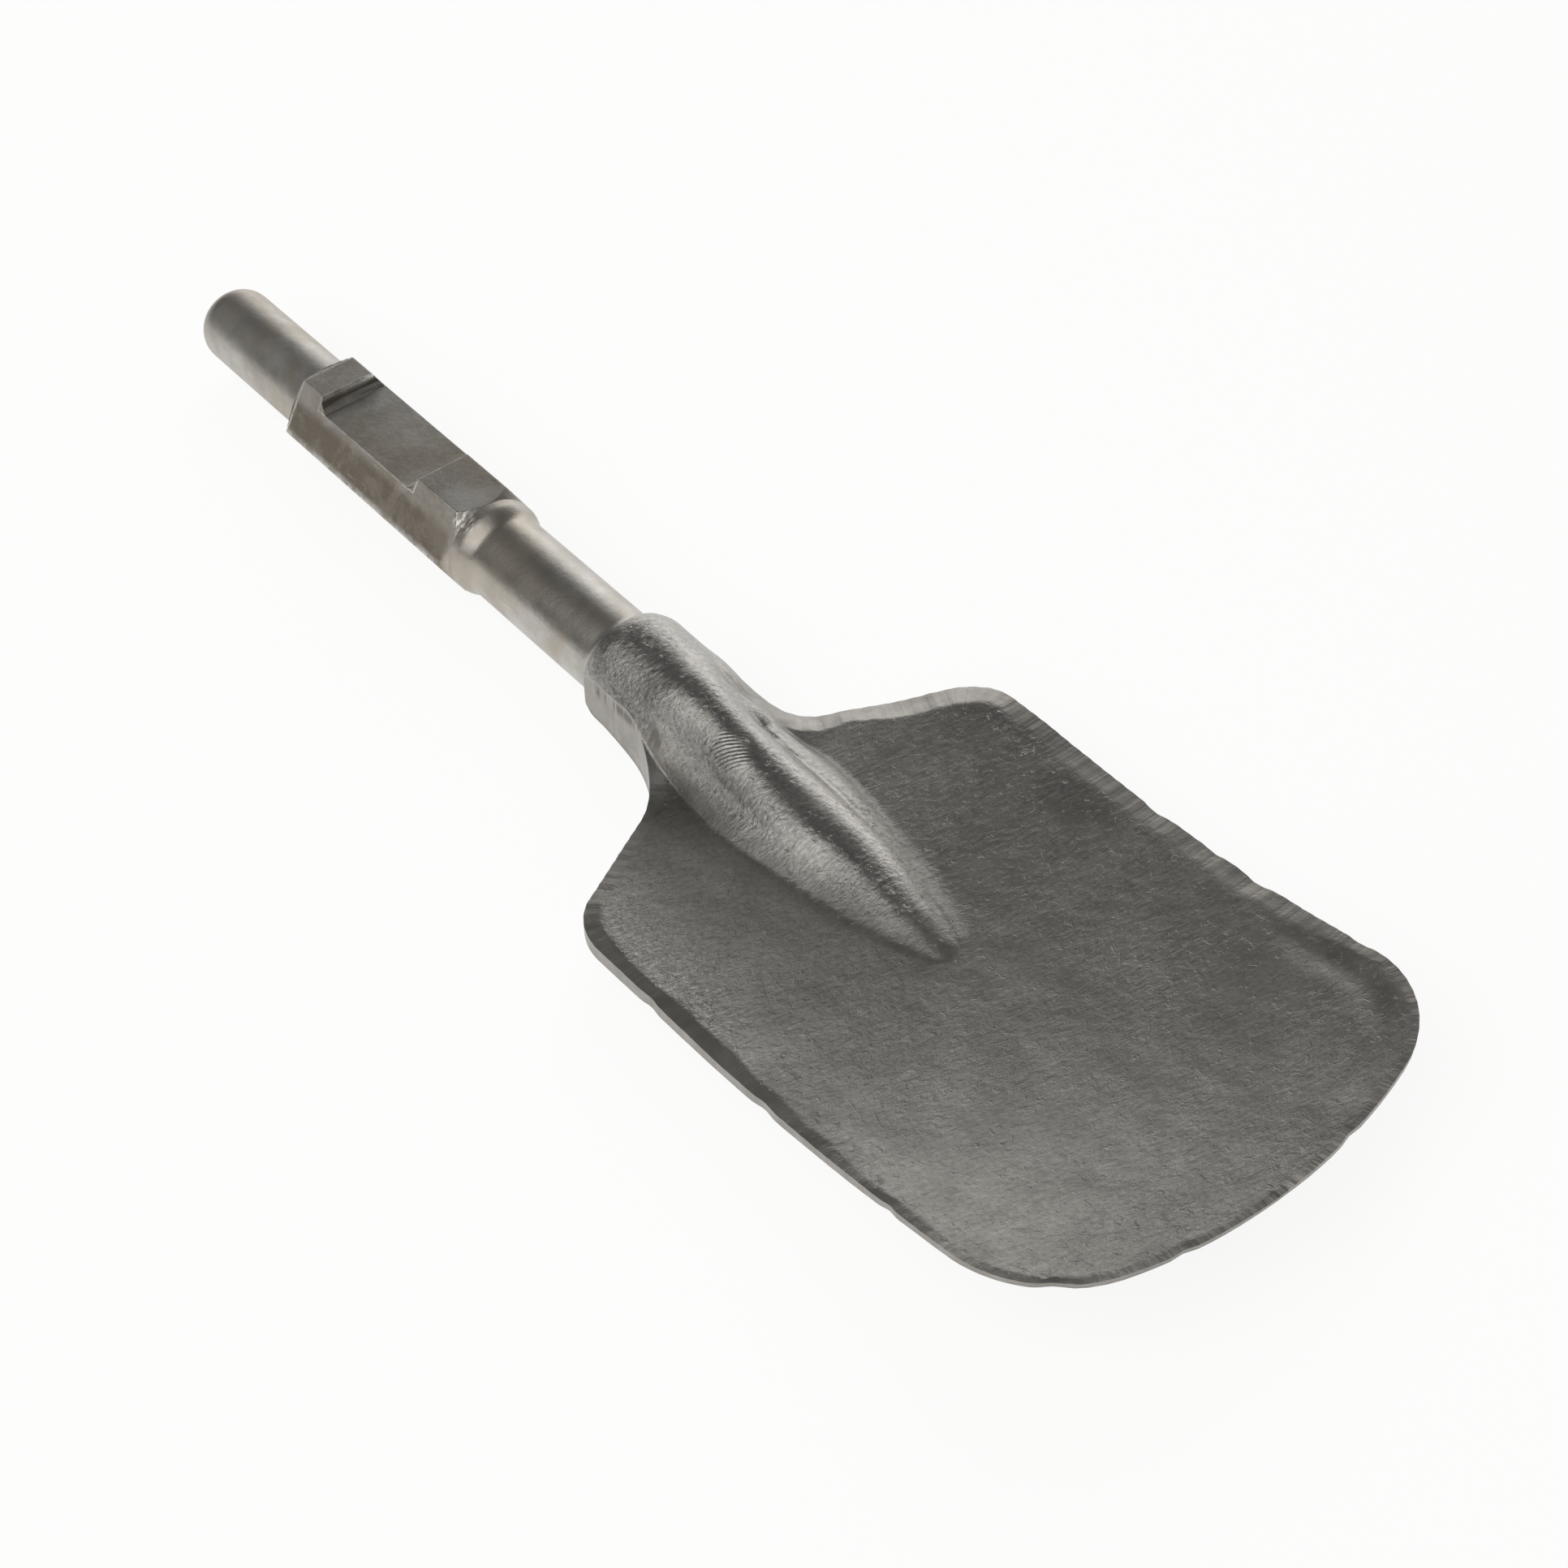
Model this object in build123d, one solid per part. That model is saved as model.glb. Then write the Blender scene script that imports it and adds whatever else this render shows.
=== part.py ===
from build123d import *
from math import asin, cos, pi, radians, sin, sqrt, tan
import os

# Spade chisel, one steel forging, in millimetres.
# X runs along the shank towards the cutting edge, Y across the blade, Z up out of its hollow face.
# The origin is on the shank axis where the hexagon begins and the round nose ends.

# Shank
hex_flats = 30.0
hex_long = 78.4
nose_r = 12.0
nose_long = 61.4
nose_edge_r = 7.6
nose_dome = 1.2
nose_root_r = 1.6
front_chamfer = 25.0
rear_chamfer = 51.0
collar_shy = 0.1
collar_end = 86.2
collar_edge = 0.8
shaft_r = 13.1
step_r = 1.1

# Retaining notch, cut across the flat that faces the same way as the blade
notch_start = 10.3
notch_end = 59.4
notch_deep = 3.9

# Boss and neck. From here on, distances along X are from the start of the boss.
boss_start = 146.2
boss_rim_r = 16.3
boss_r = 17.4
boss_full = 4.5
flare_long = 4.2
flare_shy = 1.0
rim_flat_cut = 0.9
neck_flat_cut = 1.6
neck_straight_end = 18.8
neck_bottom = 12.5
neck_rim_z = 7.3
neck_climb_to = 46.8
plate_proud = 0.2

# Blade outline, seen from above
blade_half = 70.3
side_draw_in = 1.0
shoulder_angle = 60.0
neck_fillet_r = 31.0
shoulder_r = 19.0
tip_x = 247.4
tip_arc_r = 166.0
tip_corner_r = 33.0

# Blade surface
plate_lap = 5.0
plate_kept_lap = 1.2
plate_over = 10.0
floor_z = -2.3
neck_drop = 3.6
neck_drop_from = 75.8
scoop_from = 123.8
scoop_rise = 18.0
dish_rise = 5.4
dish_rise_at_tip = 9.0
rest_half = 28.0
rest_half_at_tip = 6.0
neck_thick_at = 38.8
side_thick = 5.2
side_thick_at = 81.8
tip_thick = 1.6
bevel_wide = 4.0
bevel_deep = 1.4

# Rib: a low pad with a ridge along its middle
ridge_break = 27.8
ridge_end = 131.8
rib_start = 40.8
rib_end = 139.8
tiers_full = 29.8
pad_half = 20.8
pad_fullness = 0.7
pad_swell_from = 31.8
pad_swell_to = 65.8
pad_high = 2.6
pad_edge = 3.0
pad_sink_from = 108.8
pad_sunk = 0.7
shelf_slope = 0.3
ridge_half = 12.0
ridge_shares = [1.0, 0.82, 0.44]

hex_corner_r = hex_flats / sqrt(3)
collar_r = hex_flats / 2 - collar_shy
front_slope = tan(radians(front_chamfer))
rear_slope = tan(radians(rear_chamfer))
half_diagonal = 1 - sqrt(0.5)
neck_half = boss_r - neck_flat_cut
neck_thick = neck_bottom + plate_proud + floor_z - neck_drop

# Turned blank: domed nose, both chamfered shoulders, collar, shaft and flare up to the boss
dome_x = -nose_long + nose_dome
dome_r = nose_r - nose_edge_r
edge_bulge = nose_edge_r * half_diagonal
root_face_r = nose_r + nose_root_r
root_x = -(hex_corner_r - root_face_r) * front_slope
root_bulge = nose_root_r * half_diagonal
cone_end = hex_long + (hex_corner_r - collar_r) * rear_slope
step_end = collar_end + step_r
step_bulge = step_r * half_diagonal
flare_top = boss_rim_r - flare_shy
flare_rise = flare_top - shaft_r
flare_r = (flare_long**2 + flare_rise**2) / (2 * flare_rise)
flare_turn = asin(flare_long / flare_r) / 2
flare_start = boss_start - flare_long
blank = make_face(
    Wire(
        [
            ThreePointArc((-nose_long, 0), (-nose_long + nose_dome / 4, dome_r / 2), (dome_x, dome_r)),
            ThreePointArc(
                (dome_x, dome_r),
                (dome_x + edge_bulge, nose_r - edge_bulge),
                (dome_x + nose_edge_r, nose_r),
            ),
            Line((dome_x + nose_edge_r, nose_r), (root_x - nose_root_r, nose_r)),
            ThreePointArc(
                (root_x - nose_root_r, nose_r),
                (root_x - root_bulge, nose_r + root_bulge),
                (root_x, root_face_r),
            ),
            Line((root_x, root_face_r), (0, hex_corner_r)),
            Line((0, hex_corner_r), (hex_long, hex_corner_r)),
            Line((hex_long, hex_corner_r), (cone_end, collar_r)),
            Line((cone_end, collar_r), (collar_end - collar_edge, collar_r)),
            Line((collar_end - collar_edge, collar_r), (collar_end, shaft_r + step_r)),
            ThreePointArc(
                (collar_end, shaft_r + step_r),
                (collar_end + step_bulge, shaft_r + step_bulge),
                (step_end, shaft_r),
            ),
            Line((step_end, shaft_r), (flare_start, shaft_r)),
            ThreePointArc(
                (flare_start, shaft_r),
                (flare_start + flare_r * sin(flare_turn), shaft_r + flare_r * (1 - cos(flare_turn))),
                (boss_start, flare_top),
            ),
            Line((boss_start, flare_top), (boss_start + flare_top, 0)),
            Line((boss_start + flare_top, 0), (-nose_long, 0)),
        ]
    )
)
shank = revolve(blank, axis=Axis.X, revolution_arc=360)

# Hexagon, its flats blending into the collar
hex_plane = Plane.YZ.offset(root_x)
bar = extrude(hex_plane * Circle(hex_flats), cone_end - root_x)
bar -= extrude(hex_plane * RegularPolygon(hex_corner_r, 6), cone_end - root_x)
shank -= bar

# Notch with rounded ends
notch_floor = hex_flats / 2 - notch_deep
notch_bulge = notch_deep * half_diagonal
notch_top = hex_flats / 2
notch = make_face(
    Plane.XZ
    * Wire(
        [
            ThreePointArc(
                (notch_start, notch_top),
                (notch_start + notch_bulge, notch_floor + notch_bulge),
                (notch_start + notch_deep, notch_floor),
            ),
            Line((notch_start + notch_deep, notch_floor), (notch_end - notch_deep, notch_floor)),
            ThreePointArc(
                (notch_end - notch_deep, notch_floor),
                (notch_end - notch_bulge, notch_floor + notch_bulge),
                (notch_end, notch_top),
            ),
            Line((notch_end, notch_top), (notch_end, hex_flats)),
            Line((notch_end, hex_flats), (notch_start, hex_flats)),
            Line((notch_start, hex_flats), (notch_start, notch_top)),
        ]
    )
)
shank -= extrude(notch, hex_flats, both=True)


# Points across a section, and the section through them at a place along the shank
steps = [i / 5 for i in range(-5, 6)]


def closed_section(x, tops, bottoms):
    sides = [Line(tops[-1], bottoms[0]), Line(bottoms[-1], tops[0])]
    return make_face(Plane.YZ.offset(x) * Wire([Spline(*tops), sides[0], Spline(*bottoms), sides[1]]))


plate_start = neck_straight_end - plate_lap


# Hollow face of the blade: a dished floor that climbs to the neck, drops a little in front of it and
# scoops up to the cutting edge
def ease(x, start, end):
    s = min(max((x - start) / (end - start), 0), 1)
    return s * s * (3 - 2 * s)


def scooped(x):
    return max((x - scoop_from) / (tip_x - scoop_from), 0)


def floor_height(x):
    dropped = min(max((neck_drop_from - x) / (neck_drop_from - neck_thick_at), 0), 1)
    return floor_z - neck_drop * dropped**2 + scoop_rise * scooped(x) ** 2


def climbed(x, height):
    return height + (neck_rim_z - height) * (1 - ease(x, neck_straight_end, neck_climb_to))


def side_rise(x):
    return dish_rise + (dish_rise_at_tip - dish_rise) * scooped(x)


def hollow_height(x, y):
    return climbed(x, floor_height(x) + side_rise(x) * (y / blade_half) ** 2)


def thickness(x):
    if x < side_thick_at:
        share = min((side_thick_at - x) / (side_thick_at - neck_thick_at), 1)
        return side_thick + (neck_thick - side_thick) * share
    return side_thick - (side_thick - tip_thick) * (x - side_thick_at) / (tip_x - side_thick_at)


def plate_section(x):
    rest = rest_half + (rest_half_at_tip - rest_half) * scooped(x)
    low = floor_height(x) - thickness(x)

    def under(y):
        return low + side_rise(x) * (max(abs(y) - rest, 0) / (blade_half - rest)) ** 2

    across = [(blade_half + plate_over) * u for u in steps]
    return closed_section(x, [(y, hollow_height(x, y)) for y in across], [(-y, under(y)) for y in across])


# Sections stand closer together where the neck climbs
climb_sections = 6
blade_sections = 9
climb_step = (neck_climb_to - plate_start) / climb_sections
blade_step = (tip_x + plate_over - neck_climb_to) / blade_sections
plate_stations = [plate_start + climb_step * i for i in range(climb_sections)]
plate_stations += [neck_climb_to + blade_step * i for i in range(blade_sections + 1)]
plate = loft([plate_section(x) for x in plate_stations])

# Outline of the blade: neck, concave fillet, shoulder, side and rounded cutting edge
turn = radians(shoulder_angle)
neck_corner_x = neck_straight_end + neck_fillet_r * tan(turn / 2)
shoulder_x = neck_corner_x + (blade_half - neck_half) / tan(turn)
tip_half = blade_half - side_draw_in
tip_corner_x = tip_x - tip_arc_r + sqrt(tip_arc_r**2 - tip_half**2)
right_side = [
    (0, neck_half),
    (neck_corner_x, neck_half),
    (shoulder_x, blade_half),
    (tip_corner_x, tip_half),
]
left_side = [(x, -y) for x, y in reversed(right_side)]
outline = make_face(
    Wire(
        [Line(a, b) for a, b in zip(right_side, right_side[1:])]
        + [ThreePointArc(right_side[-1], (tip_x, 0), left_side[0])]
        + [Line(a, b) for a, b in zip(left_side, left_side[1:])]
        + [Line(left_side[-1], right_side[0])]
    )
)


def corners_at(sketch, x):
    return [v for v in sketch.vertices() if abs(v.X - x) < 0.01]


outline = fillet(corners_at(outline, neck_corner_x), neck_fillet_r)
outline = fillet(corners_at(outline, shoulder_x), shoulder_r)
outline = fillet(corners_at(outline, tip_corner_x), tip_corner_r)
trim = extrude(outline, hex_flats, both=True)
plate &= trim

# Ground bevel round the rim, from the neck to the cutting edge
hollow_face = max(plate.faces(), key=lambda face: face.area * face.normal_at(face.center()).Z)
rim = [edge for edge in hollow_face.edges() if edge.center().X > neck_straight_end and abs(edge.center().Y) > shaft_r]
plate = chamfer(rim, length=bevel_wide, length2=bevel_deep, reference=hollow_face)
plate = split(plate, bisect_by=Plane.YZ.offset(neck_straight_end - plate_kept_lap), keep=Keep.TOP)


# Boss, neck and rib: a round that flattens into a ridge on a pad and runs out in the hollow face
def rib_section(x):
    run = min(max((x - rib_start) / (rib_end - rib_start), 0), 1)
    tiers = ease(x, boss_full, tiers_full)
    low_flat = ease(x, boss_full, neck_straight_end)
    swell = sin(pi / 2 * min(x / boss_full, 1))
    round_r = boss_rim_r + (boss_r - boss_rim_r) * swell
    rim_half = boss_rim_r - rim_flat_cut
    half = rim_half + (neck_half - rim_half) * swell
    pad_full = pad_half * (1 - run**2) ** pad_fullness
    half += (pad_full - half) * ease(x, pad_swell_from, pad_swell_to)
    edge = min(pad_edge, half / 2)
    inner = half - edge
    ridge_foot = min(ridge_half * (1 - run**4), inner * 0.9)
    face_z = hollow_height(x, half)
    edge_z = face_z - pad_sunk * ease(x, neck_straight_end, neck_climb_to)
    sinking = max((x - pad_sink_from) / (rib_end - pad_sink_from), 0)
    pad_z = face_z + pad_high - (pad_high + pad_sunk) * sinking
    shelf_z = pad_z + shelf_slope * (inner - ridge_foot)
    ridge_z = boss_r + (floor_z - boss_r) * max(x - ridge_break, 0) / (ridge_end - ridge_break)
    ridge_z = max(ridge_z, shelf_z)
    plate_middle = thickness(x) / 2 - floor_height(x)
    low_z = neck_bottom + (plate_middle - neck_bottom) * ease(x, neck_straight_end, neck_climb_to)

    tier_points = [
        (ridge_foot * i / len(ridge_shares), shelf_z + (ridge_z - shelf_z) * share)
        for i, share in enumerate(ridge_shares)
    ]
    tier_points += [(ridge_foot, shelf_z), (inner, pad_z), (half - edge / 2, (pad_z + edge_z) / 2), (half, edge_z)]

    def bow(y):
        return sqrt(round_r**2 - y**2) if y < round_r else 0

    side = [(y, bow(y) + (z - bow(y)) * tiers) for y, z in tier_points]
    tops = [(-y, z) for y, z in side[:0:-1]] + side

    def bottom(y):
        return -bow(abs(y)) + (bow(abs(y)) - low_z) * low_flat

    bottoms = [(-half * u, bottom(half * u)) for u in steps]
    return closed_section(x, tops, bottoms)


neck_sections = 8
neck_step = (rib_start - boss_full) / neck_sections
rib_long = rib_end - rib_start
rib_stations = [0] + [boss_full + neck_step * i for i in range(neck_sections + 1)]
rib_stations += [rib_start + rib_long * share for share in (0.1, 0.22, 0.36, 0.5, 0.64, 0.76, 0.86, 0.94, 0.99)]
rib = loft([rib_section(x) for x in rib_stations])
rib &= trim

spade_chisel = shank + Pos(boss_start, 0, 0) * (plate + rib)

os.makedirs("parts", exist_ok=True)
export_step(spade_chisel, "parts/spade_chisel.step")
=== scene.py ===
from math import cos, pi, radians, sin, sqrt, tan

import bmesh
import bpy
import numpy as np
from mathutils import Matrix, Vector, noise


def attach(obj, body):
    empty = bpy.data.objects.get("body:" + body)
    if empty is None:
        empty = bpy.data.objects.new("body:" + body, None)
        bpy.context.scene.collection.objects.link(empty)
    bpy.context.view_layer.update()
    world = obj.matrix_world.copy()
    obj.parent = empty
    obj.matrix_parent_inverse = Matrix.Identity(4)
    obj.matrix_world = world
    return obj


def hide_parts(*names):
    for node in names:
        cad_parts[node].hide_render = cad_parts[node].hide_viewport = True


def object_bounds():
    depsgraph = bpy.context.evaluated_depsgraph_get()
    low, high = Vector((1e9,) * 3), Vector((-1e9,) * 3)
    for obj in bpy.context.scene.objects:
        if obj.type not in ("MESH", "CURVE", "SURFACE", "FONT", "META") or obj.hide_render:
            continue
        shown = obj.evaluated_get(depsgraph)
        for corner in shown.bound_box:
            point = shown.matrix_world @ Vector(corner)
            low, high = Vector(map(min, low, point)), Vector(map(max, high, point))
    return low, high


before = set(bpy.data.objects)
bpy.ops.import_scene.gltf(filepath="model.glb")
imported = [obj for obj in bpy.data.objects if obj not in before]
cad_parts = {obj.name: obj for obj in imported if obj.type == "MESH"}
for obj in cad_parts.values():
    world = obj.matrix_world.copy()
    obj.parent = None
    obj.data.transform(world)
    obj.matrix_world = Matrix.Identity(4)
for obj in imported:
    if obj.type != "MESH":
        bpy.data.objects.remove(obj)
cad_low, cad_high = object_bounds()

# Spade chisel for a breaker: one steel forging with no joints. Its skin is one closed net of rings,
# from the nose of the shank to the cutting edge, and the sections follow it in that order. Sizes are
# in millimetres until the net becomes a mesh.

# Shank: the end that goes into the breaker, turned from round steel bar. It has a hexagon with a
# notch for the latch, a collar, and a shaft up to the boss. Its profile is pairs of distance along
# the shank and radius.
hex_flats = 30.0
hex_long = 78.4
hex_corner = hex_flats / sqrt(3)
hex_corner_round = 0.12
front_chamfer, rear_chamfer = radians(25), radians(51)
notch_start, notch_end, notch_deep = 10.3, 59.4, 3.9
nose_r = 12.0
nose_long = 61.4
nose_edge_r = 7.6
nose_dome = 1.2
nose_root_r = 1.6
collar_r = 14.9
shaft_r = 13.1
step_start, step_stop = 83.8, 89.6
boss_start = 146.2
boss_rim_r = 16.3
boss_r = 17.4
boss_full_in = 4.5
flare_long = 4.2
flare_top = 15.3


def quarter(x0, r0, x1, r1, count, hollow=False):
    """Quarter turn from one point of the turned profile to another."""
    turns = np.linspace(0, pi / 2, count)
    if hollow:
        return [(x0 + (x1 - x0) * (1 - cos(t)), r0 + (r1 - r0) * sin(t)) for t in turns]
    return [(x0 + (x1 - x0) * sin(t), r0 + (r1 - r0) * (1 - cos(t))) for t in turns]


def straight(x0, r0, x1, r1, pitch):
    """Straight run of the turned profile, with a point about every pitch."""
    count = max(int(abs(x1 - x0) / pitch), 2)
    return list(zip(np.linspace(x0, x1, count), np.linspace(r0, r1, count)))


root_r = nose_r + nose_root_r
root_x = -(hex_corner - root_r) * tan(front_chamfer)
rear_cone = hex_long + (hex_corner - collar_r) * tan(rear_chamfer)
dome_r = nose_r - nose_edge_r
dome_x = nose_dome - nose_long
profile = [(-nose_long + nose_dome * u * u, dome_r * u) for u in (0.06, 0.3, 0.55, 0.8)]
profile += quarter(dome_x, dome_r, dome_x + nose_edge_r, nose_r, 12, hollow=True)
profile += straight(dome_x + nose_edge_r + 1, nose_r, root_x - nose_root_r - 1, nose_r, 1.4)
profile += quarter(root_x - nose_root_r, nose_r, root_x, root_r, 6)
profile += straight(root_x + 0.02, root_r, 0, hex_corner, 0.25)
notch_turns = [notch_deep * (1 - cos(t)) for t in np.linspace(0, pi / 2, 10)]
hex_x = list(np.linspace(0.8, notch_start - 0.4, 9)) + [notch_start - 0.02]
hex_x += [notch_start + step for step in notch_turns]
hex_x += list(np.linspace(notch_start + notch_deep + 1, notch_end - notch_deep - 1, 34))
hex_x += [notch_end - step for step in reversed(notch_turns)] + [notch_end + 0.02]
hex_x += list(np.linspace(notch_end + 0.6, hex_long - 0.4, 17))
profile += [(x, hex_corner) for x in hex_x]
profile += straight(hex_long, hex_corner, rear_cone, collar_r, 0.28)
profile += straight(rear_cone + 0.4, collar_r, step_start - 0.3, collar_r, 0.8)
profile += [(step_start + (step_stop - step_start) * u,
             shaft_r + (collar_r - shaft_r) * (1 - u * u * (3 - 2 * u))) for u in np.linspace(0, 1, 14)]
profile += straight(step_stop + 0.6, shaft_r, boss_start - flare_long - 0.6, shaft_r, 1.3)
profile += [(boss_start - flare_long + flare_long * u, shaft_r + (flare_top - shaft_r) * u * u)
            for u in np.linspace(0, 1, 8)]

# Points round a ring: 145 over the top, 49 under, 7 down each side. The fixed turns fall on the
# corners of the hexagon and on the edges of the notch.
corner_turn, notch_turn, side_turn = 30, 44.5, 65.2
half_turns = np.concatenate([
    np.linspace(0, corner_turn, 33), np.linspace(corner_turn, notch_turn, 17)[1:],
    np.linspace(notch_turn, side_turn, 25)[1:]])
top_turns = np.concatenate([-half_turns[::-1], half_turns[1:]])
side_turns = np.concatenate([np.linspace(side_turn, 90, 5), np.linspace(90, 180 - side_turn, 5)[1:]])
under_half = np.concatenate([np.linspace(180 - side_turn, 150, 15), np.linspace(150, 180, 11)[1:]])
under_turns = np.concatenate([under_half, 360 - under_half[-2::-1]])
ring_turns = np.radians(np.concatenate([
    top_turns, side_turns[1:-1], under_turns, 360 - side_turns[-2:0:-1]]))
top_count, side_count, under_count = len(top_turns), len(side_turns) - 2, len(under_turns)
ring_count = len(ring_turns)


def soft_min(a, b, size):
    """The lesser of two heights, with the meeting edge rounded over by about size."""
    h = np.clip(0.5 + 0.5 * (b - a) / size, 0, 1)
    return b + (a - b) * h - size * h * (1 - h)


def soft_max(a, b, size):
    return -soft_min(-a, -b, size)


def ease(x, start, end):
    """0 up to the start, 1 from the end on, and smooth in between."""
    s = np.clip((x - start) / (end - start), 0, 1)
    return s * s * (3 - 2 * s)


def notch_height(x):
    """Height of the notch's floor over the axis, with a rounded rise at both ends."""
    if x <= notch_start or x >= notch_end:
        return hex_flats
    into = min(x - notch_start, notch_end - x, notch_deep)
    return hex_flats / 2 - sqrt(max(notch_deep**2 - (notch_deep - into) ** 2, 0))


folded = np.radians(np.mod(np.degrees(ring_turns) + 30, 60) - 30)
hexagon = hex_flats / 2 / np.cos(folded)
upward = np.cos(ring_turns) > 0.4
shank_rings = []
for x, turned_r in profile:
    r = np.full(ring_count, turned_r)
    if root_x <= x <= rear_cone + 0.01:
        r = soft_min(r, hexagon, hex_corner_round)
        cut = notch_height(x) / np.where(upward, np.cos(ring_turns), 1)
        r = np.where(upward, np.minimum(r, cut), r)
    shank_rings.append(np.stack([
        np.full(ring_count, x), r * np.sin(ring_turns), r * np.cos(ring_turns)], 1))

# Blade outline: the forging is trimmed in a die to the shape of a spade. Half of that line is drawn
# here, from the neck round the shoulder and the far corner to the middle of the cutting edge.
neck_half = 15.8
neck_straight_end = 165.0
neck_fillet_r = 31.0
shoulder_angle = radians(60)
shoulder_r = 19.0
blade_half = 70.3
side_draw_in = 1.0
tip_corner_r = 33.0
tip_arc_r = 166.0
tip_x = 393.6
outline_pitch = 0.5


def arc_points(centre, r, start, end):
    """Points along an arc of the outline."""
    count = max(int(abs(end - start) * r / outline_pitch), 2)
    return [(centre[0] + r * cos(t), centre[1] + r * sin(t)) for t in np.linspace(start, end, count)]


neck_corner_x = neck_straight_end + neck_fillet_r * tan(shoulder_angle / 2)
shoulder_x = neck_corner_x + (blade_half - neck_half) / tan(shoulder_angle)
tip_half = blade_half - side_draw_in
tip_corner_x = tip_x - tip_arc_r + sqrt(tip_arc_r**2 - tip_half**2)
side_fall = side_draw_in / (tip_corner_x - shoulder_x)
side_angle = -np.arctan(side_fall)
shoulder_half_turn = (shoulder_angle - side_angle) / 2
shoulder_run = shoulder_r * tan(shoulder_half_turn)
shoulder_centre = (shoulder_x + shoulder_run * cos(side_angle) + shoulder_r * sin(side_angle),
                   blade_half + shoulder_run * sin(side_angle) - shoulder_r * cos(side_angle))

# The far corner touches the side from inside and the tip arc from inside: a quadratic in its centre
tip_centre_x = tip_x - tip_arc_r
corner_low = blade_half + side_fall * shoulder_x - tip_corner_r * sqrt(1 + side_fall**2)
square, linear = 1 + side_fall**2, -2 * (tip_centre_x + side_fall * corner_low)
constant = tip_centre_x**2 + corner_low**2 - (tip_arc_r - tip_corner_r) ** 2
corner_x = (-linear + sqrt(linear * linear - 4 * square * constant)) / (2 * square)
corner_centre = (corner_x, corner_low - side_fall * corner_x)
corner_end = np.arctan2(corner_centre[1], corner_centre[0] - tip_centre_x)

neck_centre = (neck_straight_end, neck_half + neck_fillet_r)
line_points = [(x, neck_half) for x in np.arange(boss_start, neck_straight_end, outline_pitch)]
line_points += arc_points(neck_centre, neck_fillet_r, -pi / 2, -pi / 2 + shoulder_angle)
line_points += arc_points(shoulder_centre, shoulder_r, pi / 2 + shoulder_angle, pi / 2 + side_angle)
line_points += arc_points(corner_centre, tip_corner_r, pi / 2 + side_angle, corner_end)
line_points += arc_points((tip_centre_x, 0), tip_arc_r, corner_end, 0)
line_points = np.array(line_points)
run_at = np.concatenate([[0], np.cumsum(np.hypot(*np.diff(line_points, axis=0).T))])
outline_run = np.arange(0, run_at[-1], outline_pitch)
outline_x = np.interp(outline_run, run_at, line_points[:, 0])
outline_y = np.interp(outline_run, run_at, line_points[:, 1])

# The rings end on the outline up to this point of the far corner, and bow forward to the tip arc
split_point = (corner_centre[0] + tip_corner_r * cos(pi / 4), corner_centre[1] + tip_corner_r * sin(pi / 4))
split_run = outline_run[np.argmin(np.hypot(outline_x - split_point[0], outline_y - split_point[1]))]
split_x = np.interp(split_run, outline_run, outline_x)
split_y = np.interp(split_run, outline_run, outline_y)


def tip_line(y):
    """Cutting edge: how far along the shank it lies, at a place across the blade."""
    run = outline_run >= split_run - 1
    return np.interp(np.abs(y), outline_y[run][::-1], outline_x[run][::-1])


# Face of the blade, hammered to shape: a dish that climbs to the neck and scoops up to the cutting
# edge. A low pad lies on it, with a ridge along its middle that grows out of the round boss, and
# both run out in the dish.
floor_z = -2.3
dish_rise, dish_rise_at_tip = 5.4, 9.0
scoop_from, scoop_rise = 270.0, 18.0
neck_drop, neck_drop_from, neck_thick_at = 3.6, 222.0, 185.0
neck_rim_z, neck_climb_to = 7.3, 193.0
rib_start, rib_end = 187.0, 286.0
pad_half, pad_high, pad_edge, pad_bluntness = 20.8, 2.6, 3.0, 0.7
pad_neck_swell, pad_neck_over = 1.2, (160, 176)
pad_swell_over = (184.0, 214.0)
pad_hold, pad_hold_over = 0.8, (160, 212)
pad_thinner, pad_thinner_over = 1.0, (212, 250)
pad_sink_from, pad_sunk = 255.0, 0.7
ridge_break, ridge_run, ridge_half = 174.0, 112.0, 12.0
ridge_sag, ridge_flank = 1.35, 2.2
ridge_blunt, blunt_over, blunt_gone_over = 1.6, (200, 250), (264, 288)
crest_off, crest_off_over = 1.2, (160, 180)
shelf_slope, shelf_round, bank_round, ridge_round = 0.4, 1.0, 1.2, 0.8
crease_r, crease_more, crease_more_over = 0.7, 1.5, (225, 280)
end_fall, end_fall_from = 0.5, 279
tiers_from, tiers_full = 150.7, 176.0


def scooped(x):
    """How far along the scoop, up to 1 at the cutting edge."""
    return np.clip((x - scoop_from) / (tip_x - scoop_from), 0, None)


def floor_height(x):
    """Height of the blade's middle line."""
    drop = np.clip((neck_drop_from - x) / (neck_drop_from - neck_thick_at), 0, 1)
    return floor_z - neck_drop * drop**2 + scoop_rise * scooped(x) ** 2


def hollow_face(x, y):
    """Height of the dished face, without the rib."""
    rise = dish_rise + (dish_rise_at_tip - dish_rise) * scooped(x)
    face = floor_height(x) + rise * (y / blade_half) ** 2
    return face + (neck_rim_z - face) * (1 - ease(x, neck_straight_end, neck_climb_to))


def pad_foot(x):
    """Half width of the pad, where its foot meets the hollow face."""
    run = np.clip((x - rib_start) / (rib_end - rib_start), 0, 1)
    at_neck = neck_half + pad_neck_swell * ease(x, *pad_neck_over)
    return at_neck + (pad_half * (1 - run**2) ** pad_bluntness - at_neck) * ease(x, *pad_swell_over)


def boss_round(x, y):
    """Height of the round boss over the axis."""
    swell = np.sin(pi / 2 * np.clip((x - boss_start) / boss_full_in, 0, 1))
    r = boss_rim_r + (boss_r - boss_rim_r) * swell
    return np.sqrt(np.clip(r**2 - y * y, 1, None))


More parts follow.
